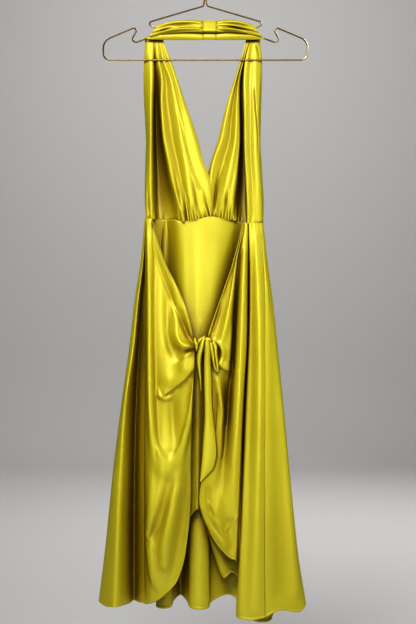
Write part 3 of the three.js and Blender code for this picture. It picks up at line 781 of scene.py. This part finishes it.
SKIRT_FRONT = (
    # behind the left wrap
    ((512, -106, -2), (549, -106, -1), (593, -106, 0), (668, -106, -4), (758, -106, -6), (866, -106, -7),
     (1025, -106, -8), (1203, -106, -8)),
    # left slope
    ((511, -92, 8), (549, -93, 12), (593, -91, 12), (668, -88, 4), (758, -90, -6), (866, -90, -8),
     (1024, -90, -9), (1175, -90, -9)),
    # trough
    ((511, -79, 9), (549, -79, 13), (593, -77, 12), (668, -74, 3), (758, -74, -6), (866, -74, -8),
     (1025, -74, -8), (1153, -74, -8)),
    # right of the trough
    ((512, -68, 3), (549, -66, 4), (593, -64, 3), (668, -62, -4), (757, -60, -10), (866, -60, -9),
     (1025, -60, -8), (1133, -58, -9)),
    # left of the front
    ((512, -56, -7), (550, -52, -8), (593, -48, -9.5), (669, -44, -11), (757, -42, -12), (866, -43, -8),
     (1025, -43, -6), (1112, -43, -8)),
    # left of the middle
    ((512, -38, -9.5), (550, -35, -10.6), (594, -33, -11.4), (669, -31, -12), (757, -29, -12),
     (867, -29, -4), (1025, -29, -2), (1096, -29, -6)),
    # middle
    ((512, -17, -11.5), (550, -17, -11.9), (594, -17, -12.6), (669, -17, -13), (757, -15, -13),
     (866, -15, -8), (1025, -15, -8), (1081, -16, -14)),
    # soft ridge
    ((513, 1, -13), (550, 3, -13.4), (594, 3, -14), (669, 1, -13.8), (757, -1, -12), (867, -3, -2),
     (1026, -5, 0), (1094, -7, -4)),
    # right of the middle
    ((513, 19, -13.2), (550, 21, -14.3), (594, 21, -14.4), (669, 17, -12.6), (758, 11, -6), (867, 7, 2),
     (1026, 5, 4), (1125, 3, 0)),
    # start of the right slope
    ((512, 37, -11), (550, 39, -10.5), (593, 39, -8.5), (668, 31, -5), (758, 23, 2), (867, 21, 8),
     (1027, 21, 6), (1177, 19, 2)),
    # right slope
    ((512, 52, -8), (550, 54, -4), (593, 53, 1), (668, 45, 6), (758, 37, 8), (868, 37, 12), (1027, 37, 8),
     (1219, 36, -4)),
    # foot of the slope
    ((512, 66, 0), (549, 67, 4), (593, 65, 8), (668, 61, 10), (758, 55, 12), (868, 53, 12),
     (1027, 53, 10), (1209, 55, 2)),
    # behind the right wrap
    ((511, 80, 2), (549, 81, 4), (593, 83, 4), (668, 84, 4), (758, 82, 2), (867, 82, 0), (1025, 82, -2),
     (1243, 82, -4)),
)

WRAP_LEFT = (
    # side seam
    ((514, -118, -9), (589, -119, -10), (668, -119, -10), (757, -120, -10), (866, -120, -9),
     (975, -121, -9), (1084, -121, -9), (1183, -121, -9), (1270, -120, -8)),
    # flank
    ((514, -118, -9), (590, -117, -13), (669, -118, -15), (757, -118, -17), (866, -119, -18),
     (974, -119, -18), (1082, -119, -18), (1181, -118, -17), (1269, -116, -12)),
    # outer ridge
    ((514, -117, -11), (590, -113, -19), (669, -111, -23), (757, -111, -26), (865, -111, -28),
     (973, -109, -28), (1080, -111, -29), (1179, -108, -28), (1266, -108, -20)),
    # beside the ridge
    ((514, -115, -12), (590, -108, -17), (669, -103, -20), (757, -100, -22), (865, -98, -23),
     (973, -96, -27), (1080, -99, -32), (1178, -96, -32), (1261, -98, -24)),
    # left of the hanging fold
    ((515, -113, -13), (590, -101, -17), (669, -90, -20), (757, -84, -23), (865, -87, -25),
     (973, -83, -30), (1080, -87, -34), (1178, -85, -34), (1254, -87, -26)),
    # middle of the hanging fold
    ((515, -112, -13), (590, -96, -17), (669, -79, -20), (757, -72, -24), (865, -78, -26),
     (973, -72, -30), (1080, -75, -33), (1178, -73, -32), (1244, -76, -25)),
    # hollow
    ((516, -110, -13), (592, -92, -16.5), (669, -73, -19.5), (757, -59, -27), (865, -62, -25),
     (973, -61, -28), (1080, -62, -30), (1169, -63, -28), (1233, -64, -22)),
    # fold from the knot
    ((518, -108, -13), (594, -87, -16.5), (669, -63, -18.5), (757, -45, -32), (865, -43, -27),
     (973, -48, -26), (1081, -50, -24), (1160, -53, -22), (1216, -53, -18)),
    # beside the free edge
    ((522, -106, -13), (594, -83, -17.5), (671, -53, -20), (755, -33, -31), (865, -32, -25),
     (974, -36, -21), (1073, -39, -16.5), (1132, -41, -15.5), (1176, -41, -14)),
    # free edge
    ((527, -104, -17), (594, -79, -19), (674, -42, -21), (753, -23, -27), (865, -26, -23),
     (974, -29, -17.5), (1044, -29, -13), (1079, -30, -12), (1109, -32, -11)),
)

WRAP_RIGHT = (
    # side seam
    ((514, 108, -9), (590, 114, -15), (669, 117, -21), (757, 117, -28), (865, 117, -32),
     (972, 116, -34.5), (1079, 116, -36.6), (1177, 116, -38), (1288, 117, -42)),
    # right of the panel
    ((514, 100, -11), (590, 102, -20), (669, 104, -26), (757, 106, -31), (864, 105, -34), (972, 103, -37),
     (1079, 99, -39), (1176, 95, -40), (1293, 91, -44)),
    # left of the panel
    ((514, 92, -12), (590, 94, -18), (669, 93, -22), (757, 93, -26), (865, 91, -29), (972, 87, -32),
     (1079, 84, -36), (1177, 80, -38), (1292, 75, -43)),
    # turn to the folded edge
    ((514, 86, -12), (590, 87, -16), (669, 87, -19.5), (757, 85, -23), (865, 80, -25.5), (973, 76, -28.5),
     (1080, 72, -33), (1177, 68, -36), (1289, 64, -38)),
    # folded edge
    ((514, 85, -9), (589, 86, -8), (668, 85, -8), (757, 84, -9), (866, 78, -10), (975, 74, -12),
     (1082, 71, -17), (1180, 66, -22), (1285, 60, -27)),
    # under the fold
    ((514, 84, -9), (589, 85, -10), (668, 84, -11), (757, 82, -12), (866, 76, -13), (974, 72, -16),
     (1072, 69, -19), (1160, 66, -22), (1239, 62, -24)),
    # right of the strip
    ((514, 84, -10), (590, 82, -19), (669, 81, -26), (757, 80, -30.5), (865, 74, -32), (972, 71, -32),
     (1061, 68, -31), (1129, 66, -30), (1185, 63, -28)),
    # strip
    ((516, 82, -12), (590, 76, -21), (669, 73, -27.5), (757, 69, -31.5), (864, 63, -33), (972, 57, -32.5),
     (1060, 48, -32), (1125, 44, -30), (1176, 49, -28)),
    # left of the strip
    ((516, 80, -12), (590, 69, -19), (669, 65, -24), (757, 61, -28), (865, 53, -29), (973, 47, -29),
     (1061, 37, -30), (1120, 34, -28), (1167, 39, -28)),
    # deep valley
    ((518, 78, -11), (592, 64, -13), (669, 59, -15), (757, 55, -16), (866, 46, -16), (973, 40, -22),
     (1055, 32, -27), (1114, 26, -27), (1157, 30, -28)),
    # fold that falls from the knot
    ((518, 77, -12), (592, 63, -17), (671, 56, -23), (757, 50, -29), (865, 39, -20), (974, 35, -20),
     (1050, 23, -26), (1106, 19, -27), (1147, 22, -27)),
    # ridge by the edge
    ((520, 76, -12), (594, 60, -19), (673, 48, -26), (757, 36, -32), (865, 31, -24), (973, 28, -23),
     (1042, 14, -26), (1093, 10, -27), (1133, 13, -26)),
    # valley by the edge
    ((522, 75, -12), (596, 58, -16), (674, 41, -20), (755, 17, -28), (865, 17, -22), (973, 13, -22),
     (1034, 3, -25), (1077, 0, -25), (1116, 5, -25)),
    # free edge
    ((525, 74, -16), (598, 53, -20), (676, 26, -23), (753, 2, -29), (865, 7, -22), (964, 3, -22),
     (1026, -8, -24), (1066, -12, -24), (1095, -5, -24)),
)

# Folds, as (x, drop, rise toward the viewer, width to the right, width to the left) along each.
WRAP_LEFT_FOLDS = (
    # basin inside the hanging fold
    ((-71, 849, -2, 16), (-71, 876, -9, 17), (-71, 908, -11, 18), (-72, 935, -7, 19), (-73, 958, -2, 18)),
    # upper fold from the knot
    ((-59, 649, 0, 12), (-62, 684, 2, 12), (-63, 712, 6, 12), (-61, 733, 9, 9, 13),
     (-53, 749, 10.5, 7, 12), (-43, 756, 10.5, 5, 9), (-32, 759, 9, 4, 6), (-22, 761, 4.5, 3, 5)),
    # dark hollow above it
    ((-50, 692, -3, 7), (-42, 720, -8, 7), (-33, 741, -9, 6), (-25, 753, -5, 4)),
    # second fold from the knot
    ((-30, 773, 2.8, 4.6), (-40, 778, 5.6, 6.9), (-42, 790, 6.3, 9.2), (-37, 802, 3, 10)),
    # trough down the pouch
    ((-77, 610, 0, 10), (-74, 657, -3, 11, 10), (-72, 704, -6, 11, 10), (-68, 743, -6.5, 10, 11),
     (-58, 771, -6, 10, 12), (-44, 788, -3.5, 9, 11), (-34, 798, -2, 6, 10)),
    # soft ridge left of it
    ((-86, 600, 0, 12.5), (-87, 653, 1.5, 12.5, 11.25), (-88, 712, 2.7, 13.75, 12.5),
     (-86, 767, 2.4, 13.75, 12.5), (-80, 818, 2.4, 13.75)),
    # ridge that ends in a sharp corner
    ((-97, 986, 3, 24, 12), (-101, 1022, 5, 22, 12), (-106, 1061, 7, 20, 10), (-112, 1100, 8, 15, 8),
     (-116, 1129, 8, 8, 6)),
    # slanting valley below it
    ((-116, 1141, -4.2, 9.2, 6.9), (-102, 1127, -5.4, 11.5, 8), (-88, 1096, -5.4, 12.65, 9),
     (-77, 1059, -4.8, 11.5, 10), (-69, 1029, -3.4, 11.5), (-60, 1002, -1.4, 10.35, 11.5)),
    # ridge right of it
    ((-56, 1018, 4, 13, 9), (-64, 1057, 8, 14, 9), (-74, 1110, 11, 15, 8), (-82, 1149, 11, 15, 8),
     (-82, 1186, 7, 14, 10)),
    # trough by the free edge
    ((-38, 1012, -3, 9, 10), (-43, 1080, -6, 9, 11), (-53, 1155, -6, 9, 11), (-70, 1218, -3, 9, 10)),
    # ridge down the middle of the basin
    ((-78, 853, 2, 8), (-78, 884, 4.5, 9), (-77, 920, 5, 10, 11), (-77, 945, 3.4, 14, 16),
     (-77, 963, 2.4, 20), (-75, 982, 0, 24)),
)
# Folds with flat tops.
WRAP_LEFT_ROLLS = (
    # outer ridge, and on round the foot of the hanging fold up to the knot
    ((-113, 524, 3, 7, 4), (-111, 582, 7, 8, 5), (-111, 663, 8.5, 8, 5), (-110, 769, 9, 8, 5.5),
     (-109, 835, 10, 8, 6), (-107, 884, 10.5, 8, 6.5), (-104, 924, 10.5, 8), (-98, 959, 10, 9, 12),
     (-87, 982, 7.5, 13, 20), (-72, 993, 6, 17, 26), (-58, 982, 7.5, 13, 18), (-47, 961, 9, 9, 10),
     (-38, 929, 10.5, 7, 7.5), (-30, 894, 10.5, 6), (-26, 861, 8.5, 5, 4), (-22, 833, 5, 4, 3)),
    # turned edge
    ((-102, 543, 0.8, 2, 4), (-81, 594, 2, 3, 6), (-66, 629, 2.4, 3, 7.6), (-47, 675, 2.6, 3, 8),
     (-32, 704, 2.6, 3, 7), (-25, 739, 2, 2, 5)),
)
WRAP_LEFT_CREASES = (
    # lower rim of the fold from the knot
    ((-19, 798, 6.4, 3.08, 19.8), (-30, 810, 8.8, 3.08, 24.2), (-41, 823, 9.6, 2.86, 26.4),
     (-56, 835, 9.6, 2.64, 26.4), (-71, 847, 7.2, 2.64, 22), (-87, 855, 3.2, 3.3, 15.4)),
    # small curl at its end
    ((-94, 843, 1.05, 3.45, 4.6), (-89, 857, 2.8, 3.45, 4.6), (-77, 862, 3.5, 3.45, 5.06),
     (-66, 857, 2.8, 3.22, 4.6), (-57, 845, 1.4, 2.99, 3.91)),
    # line between the folds from the knot
    ((-22, 766, -6, 3), (-35, 768, -7, 3, 3.4), (-44, 776, -5, 3.4, 4), (-49, 786, -2.5, 4, 5)),
    # edge of the lower corner
    ((-117, 1139, 5, 12, 3), (-113, 1170, 8, 14, 3), (-109, 1204, 7, 14, 3.4), (-100, 1231, 3, 12, 5)),
    # line beside the turned edge
    ((-106, 563, -0.6, 2.6, 3.4), (-94, 594, -1.6, 3.2, 3.6), (-81, 631, -2.2, 3.4, 4),
     (-62, 676, -2.6, 3.4, 4), (-46, 712, -2.6, 3.2, 4), (-35, 739, -1.6, 2.6, 3.4)),
)

WRAP_RIGHT_FOLDS = (
    # ridge by the free edge
    ((60, 582, 2, 6), (54, 629, 4, 7), (46, 678, 6, 8), (36, 727, 6, 8), (30, 747, 4, 7)),
    # deep valley left of the strip
    ((68, 580, -3, 2.6, 4), (63, 639, -6, 3, 4.4), (58, 698, -8, 3, 4), (56, 757, -9, 2.8, 3.6),
     (54, 810, -8, 2.8, 4), (50, 865, -6, 3.4, 5), (47, 914, -3, 4, 7)),
    # strip between the two valleys
    ((77, 571, 3, 4), (73, 669, 5, 5, 6), (70, 757, 6, 5.4, 7), (65, 865, 6, 6, 8), (60, 943, 6, 7, 9),
     (53, 1022, 5, 8, 10), (46, 1090, 4, 8, 10)),
    # fold round it
    ((15, 749, 4, 4, 3), (28, 757, 6, 5, 3.4), (34, 773, 6, 5, 3.4), (30, 788, 5, 5, 3.4),
     (26, 798, 3, 4, 3)),
    # dark recess below the flap
    ((40, 820, -7, 8, 10), (44, 849, -10, 7, 9), (44, 894, -10, 6, 8), (40, 935, -7, 9, 11),
     (36, 978, -4, 12), (32, 1022, -2, 14), (28, 1057, -1, 14)),
    # fold of the cloth below the flap
    ((24, 825, 3, 4, 5), (29, 855, 5, 4, 6), (36, 888, 6, 3.4, 7), (34, 927, 5, 3, 7),
     (30, 973, 3, 4, 7)),
    # ridge down to the lower hem
    ((36, 1041, 2, 14, 12), (23, 1076, 5, 13, 11), (25, 1114, 6, 11, 10), (36, 1149, 4, 10, 9)),
    # slope by the strip
    ((50, 1002, -2, 8, 12), (46, 1061, -5, 8, 13), (48, 1110, -5, 8, 12), (54, 1149, -3, 7, 10)),
    # hollow by the lower hem
    ((4, 1041, -3, 6), (7, 1076, -4, 6), (17, 1108, -4, 6), (28, 1135, -2, 5)),
    # soft ridge down the panel
    ((103, 551, 2, 14, 12), (107, 669, 4, 15, 13), (108, 825, 5, 16, 14), (106, 982, 5, 18, 15),
     (102, 1139, 5, 18, 15), (97, 1267, 4, 18, 15)),
)
WRAP_RIGHT_CREASES = (
    # turned edge
    ((70, 543, 1, 4, 1.6), (51, 602, 3.5, 4.4, 1.6), (30, 661, 4, 4.6, 1.6), (15, 708, 4, 4.4, 1.6),
     (6, 737, 3, 3.6, 1.6)),
    # line beside it
    ((31, 657, -3, 3.4), (27, 686, -5, 3.6), (16, 724, -5, 3.4), (10, 743, -3, 3)),
    # narrow slot at the folded edge
    ((86, 594, -3.2, 1.27), (85, 669, -7.2, 1.36, 1.27), (83, 757, -8.8, 1.44, 1.36),
     (79, 816, -8.8, 1.44, 1.36), (74, 904, -8.8, 1.44, 1.36), (71, 976, -8, 1.44, 1.36),
     (68, 1061, -7.2, 1.44, 1.36), (65, 1139, -6.4, 1.44, 1.36), (63, 1208, -4, 1.44, 1.36)),
    # curved crease right of the knot
    ((14, 756, -7, 2.6, 4), (22, 762, -8, 2.6, 4), (26, 772, -8, 2.6, 4), (24, 782, -5, 2.6, 3)),
    # lower edge of the flap
    ((27, 796, 5, 10, 2.2), (37, 803, 6.5, 13, 2.2), (47, 808, 5, 9, 2.2), (53, 813, 1.5, 4, 2)),
    # line in it
    ((22, 855, -3, 2.4), (20, 894, -4, 2.4), (18, 924, -2, 2.4)),
    # crumpled folds at the lower hem
    ((-3, 1055, 1.12, 3.74, 4.4), (7, 1067, 1.68, 3.3, 5.5), (19, 1086, 0.98, 3.3, 5.5)),
    ((-3, 1078, 1.12, 3.74, 4.4), (11, 1092, 2.1, 3.08, 5.5), (27, 1114, 1.82, 3.08, 5.5),
     (33, 1127, 0.84, 3.08, 4.4)),
    ((11, 1114, 1.2, 3.4), (23, 1129, 2.2, 3, 4), (40, 1151, 1.2, 3, 4)),
    # pulls beside the folded edge
    ((64, 1092, 1.6, 2.4), (52, 1104, 2.4, 2.4), (40, 1120, 1.4, 2.4)),
)


skirt_back = surface(back_lines(), rows=150, per_fold=7, valley=0.25, hem=True)
folds(skirt_back, BACK_FOLDS)
skirt_back = soften(skirt_back, 3, edges=False)
turned_hem(skirt_back)
start_at_waist(skirt_back)

skirt_front = soften(surface(SKIRT_FRONT, rows=150, per_fold=8, hem=True), 12, edges=False)
turned_hem(skirt_front)
start_at_waist(skirt_front)
puckers(skirt_front, seed=31, gap=7.0)

wrap_left = soften(surface(WRAP_LEFT, rows=360, per_fold=13), 3)
folds(wrap_left, WRAP_LEFT_FOLDS)
folds(wrap_left, WRAP_LEFT_ROLLS, power=4)
wrap_left = soften(wrap_left, 6, edges=False)
folds(wrap_left, WRAP_LEFT_CREASES)
wrap_left = soften(wrap_left, 1, edges=False)
rolled_edge(wrap_left)
start_at_waist(wrap_left)
puckers(wrap_left, seed=32, gap=6.0)

wrap_right = soften(surface(WRAP_RIGHT, rows=350, per_fold=9, hem=True), 3)
seam_y = wrap_right[:, 0, 1].copy()
folds(wrap_right, WRAP_RIGHT_FOLDS)
seam_stays(wrap_right, seam_y)
wrap_right = soften(wrap_right, 5, edges=False)
folds(wrap_right, WRAP_RIGHT_CREASES)
wrap_right = soften(wrap_right, 1, edges=False)
rolled_edge(wrap_right)
turned_hem(wrap_right)
start_at_waist(wrap_right)
puckers(wrap_right, seed=33, gap=6.0)


# ---------------------------------------------------------------- knot and tie ends

# Stations along each piece: left x, left drop, right x, right drop, y of its edges, y of its middle.
TAIL_MAIN = (
    (2, 747, 6, 747, -36, -40),
    (-1, 751, 8, 750, -38, -45),
    (-2, 767, 10, 767, -37, -45.5),
    (-3, 788, 11, 788, -34, -41),
    (-3, 825, 12, 825, -30.5, -36.5),
    (-2, 865, 13, 865, -28.5, -34),
    (-2, 900, 15, 896, -27.5, -32.5),
    (-5, 943, 21, 947, -27, -32),
    (-7, 975, 22, 973, -27, -32),
    (-9, 998, 16, 998, -27, -31),
    (-10, 1014, 3, 1013, -27, -29.5),
    (-11, 1026, -9, 1025, -27, -28),
)
TAIL_NARROW = (
    (-2, 742, -1, 743, -38, -38.5),
    (-6, 745, -1, 749, -37, -40),
    (-11, 755, -1, 758, -36, -42),
    (-15, 768, -4, 769, -34, -41),
    (-17, 780, -7, 782, -33, -39),
    (-17, 793, -8, 796, -31, -36.5),
    (-15, 806, -8, 810, -30, -34.5),
    (-12, 823, -8, 825, -29, -32),
    (-10, 838, -8, 838, -28, -29),
    (-9, 847, -8, 847, -27.5, -28),
)
KNOT_LEAF = (
    (-22, 743, -20, 742, -36, -36.5),
    (-23, 749, -17, 749, -36, -39),
    (-21, 756, -14, 754, -36, -40.5),
    (-20, 762, -14, 762, -36, -40),
    (-18, 769, -17, 769, -35, -36),
)
KNOT_BACK = (
    (-17, 751, -11, 758, -32, -36),
    (-15, 745, -8, 752, -32, -37),
    (-9, 742, -4, 747, -33, -37),
    (-4, 740, -1, 742, -35, -37),
    (-1, 738, 0, 740, -36, -36.5),
)
LOOP_LEFT = (
    (6, 750, 14, 752, -36, -39),
    (8, 763, 16, 764, -37, -41.5),
    (11, 778, 18, 779, -37, -41.5),
    (14, 792, 19, 793, -36, -40),
    (17, 804, 22, 801, -34.5, -38),
    (22, 811, 25, 806, -33, -36),
)
LOOP_RIGHT = (
    (11, 751, 18, 749, -36, -39),
    (15, 761, 23, 759, -37, -41.5),
    (17, 774, 23, 773, -37, -41.5),
    (19, 788, 25, 787, -36, -40.5),
    (21, 800, 26, 799, -34.5, -39),
    (22, 809, 27, 809, -33, -36),
)


def knot_core():
    """The cloth deep in the knot, behind the bands that show: a lump with slanting folds."""
    centre_y, centre_drop = -31, 756
    half_width, half_depth, half_height = 14, 6.5, 14
    open_end = 0.12        # radians left open at the top and at the bottom
    down = np.linspace(open_end, math.pi - open_end, 25)[:, None]
    turn = np.linspace(0, 2 * math.pi, 49)[None, :]
    girth = np.sin(down) ** 0.6 * (1 + 0.10 * np.cos(3 * turn - 2.6 * down))
    x = half_width * girth * np.cos(turn)
    y = centre_y - half_depth * girth * np.sin(turn)
    drop = centre_drop - half_height * np.cos(down) + 0 * turn
    return np.stack([x, y, drop], axis=2)


# ---------------------------------------------------------------- build

NECK_OVERLAP = 0.6     # how far each half of the band runs in under the keeper

# Each piece's name, its grid, and the CAD node that it stands for.
CLOTHS = (
    ("bodice_left_cloth", bodice_left, "bodice_left"),
    ("bodice_right_cloth", bodice_right, "bodice_right"),
    ("skirt_back_cloth", skirt_back, "skirt_back"),
    ("neck_band_left_cloth", neck_half(-1, JOIN_LEFT + NECK_OVERLAP, NECK_LEFT_FOLDS), "neck_band_left"),
    ("neck_band_right_cloth", neck_half(1, JOIN_RIGHT - NECK_OVERLAP, NECK_RIGHT_FOLDS), "neck_band_right"),
    ("keeper_cloth", keeper(), "neck_join"),
    ("skirt_front_cloth", skirt_front, "skirt_front"),
    ("wrap_left_cloth", wrap_left, "wrap_left"),
    ("wrap_right_cloth", wrap_right, "wrap_right"),
    ("knot_core", knot_core(), "knot"),
    ("knot_leaf", strip(KNOT_LEAF, 24, 10), "knot"),
    ("knot_back_fold", strip(KNOT_BACK, 24, 10), "knot"),
    ("tail_main_cloth", strip(TAIL_MAIN, 160, 20, roundness=0.5), "tail_main"),
    ("tail_narrow_cloth", strip(TAIL_NARROW, 90, 14), "tail_narrow"),
    ("tie_loop_left", strip(LOOP_LEFT, 50, 8), "tie_loop"),
    ("tie_loop_right", strip(LOOP_RIGHT, 50, 8), "tie_loop"),
)
made = {name: piece(name, grid, node) for name, grid, node in CLOTHS}


# ---------------------------------------------------------------- stage, light, camera

# In metres, from the rail.
FLOOR_Z = -1.62
BACK_Y = 5.4           # far behind the dress
FRONT_Y = -4.5
HALF_WIDTH = 4.5
PAPER_TOP = 3.2
SWEEP = 0.6            # radius of the bend from the floor to the backdrop
SWEEP_STEPS = 12


def backdrop():
    """A floor that sweeps up into a plain backdrop."""
    profile = [(FRONT_Y, FLOOR_Z)]
    for k in range(SWEEP_STEPS + 1):
        angle = math.pi / 2 * k / SWEEP_STEPS
        profile.append((BACK_Y - SWEEP + SWEEP * math.sin(angle), FLOOR_Z + SWEEP - SWEEP * math.cos(angle)))
    profile.append((BACK_Y, PAPER_TOP))
    points, faces = [], []
    for y, z in profile:
        points += [(-HALF_WIDTH, y, z), (HALF_WIDTH, y, z)]
    for k in range(len(profile) - 1):
        faces.append((2 * k, 2 * k + 1, 2 * k + 3, 2 * k + 2))
    mesh = bpy.data.meshes.new("floor")
    mesh.from_pydata(points, [], faces)
    mesh.polygons.foreach_set("use_smooth", [True] * len(faces))
    mesh.materials.append(paper_material("floor_paper", (0.82, 0.81, 0.8)))
    obj = bpy.data.objects.new("floor", mesh)
    bpy.context.scene.collection.objects.link(obj)


def area_light(name, place, target, size, power, spread=180):
    """A soft box at place that faces target: size in metres, power in watts, spread in degrees."""
    data = bpy.data.lights.new(name, "AREA")
    data.shape = "RECTANGLE"
    data.size, data.size_y = size
    data.energy = power
    data.spread = math.radians(spread)
    obj = bpy.data.objects.new(name, data)
    obj.location = place
    obj.rotation_euler = (Vector(target) - Vector(place)).to_track_quat("-Z", "Y").to_euler()
    bpy.context.scene.collection.objects.link(obj)


backdrop()
area_light("key", (-0.36, -1.62, 0.78), (0, 0, -0.64), size=(0.8, 0.7), power=34)
area_light("side", (2.2, -1.1, 0.4), (0, 0, -0.5), size=(0.8, 0.8), power=10)
area_light("skirt_light", (0.05, -1.9, -0.2), (0.01, 0, -0.76), size=(0.4, 0.4), power=0.3, spread=30)
area_light("back", (1.6, 3.2, 1.2), (0, 0, -0.6), size=(1.0, 0.8), power=30)
area_light("backdrop_light", (0, 2.4, 2.0), (0, BACK_Y, -0.8), size=(2.4, 0.6), power=42)

world = bpy.data.worlds.new("studio")
world.use_nodes = True
fill(world.node_tree.nodes["Background"], {"Color": (0.9, 0.9, 0.92, 1), "Strength": 0.03})
bpy.context.scene.world = world

VIEW_HEIGHT = 1.2386   # height of the frame at the hanger, in metres
DISTANCE = 2.4         # of the camera, in front of the hanger
CAMERA_X = 0.005
CAMERA_Z = -0.692
SENSOR = 36.0
cam_data = bpy.data.cameras.new("camera")
cam_data.sensor_fit = "VERTICAL"
cam_data.sensor_height = SENSOR
cam_data.lens = SENSOR * DISTANCE / VIEW_HEIGHT
camera = bpy.data.objects.new("camera", cam_data)
camera.location = (CAMERA_X, -DISTANCE, CAMERA_Z)
camera.rotation_euler = (math.pi / 2, 0, 0)
bpy.context.scene.collection.objects.link(camera)
bpy.context.scene.camera = camera
bpy.context.scene.view_settings.view_transform = "Standard"
bpy.context.scene.view_settings.look = "High Contrast"
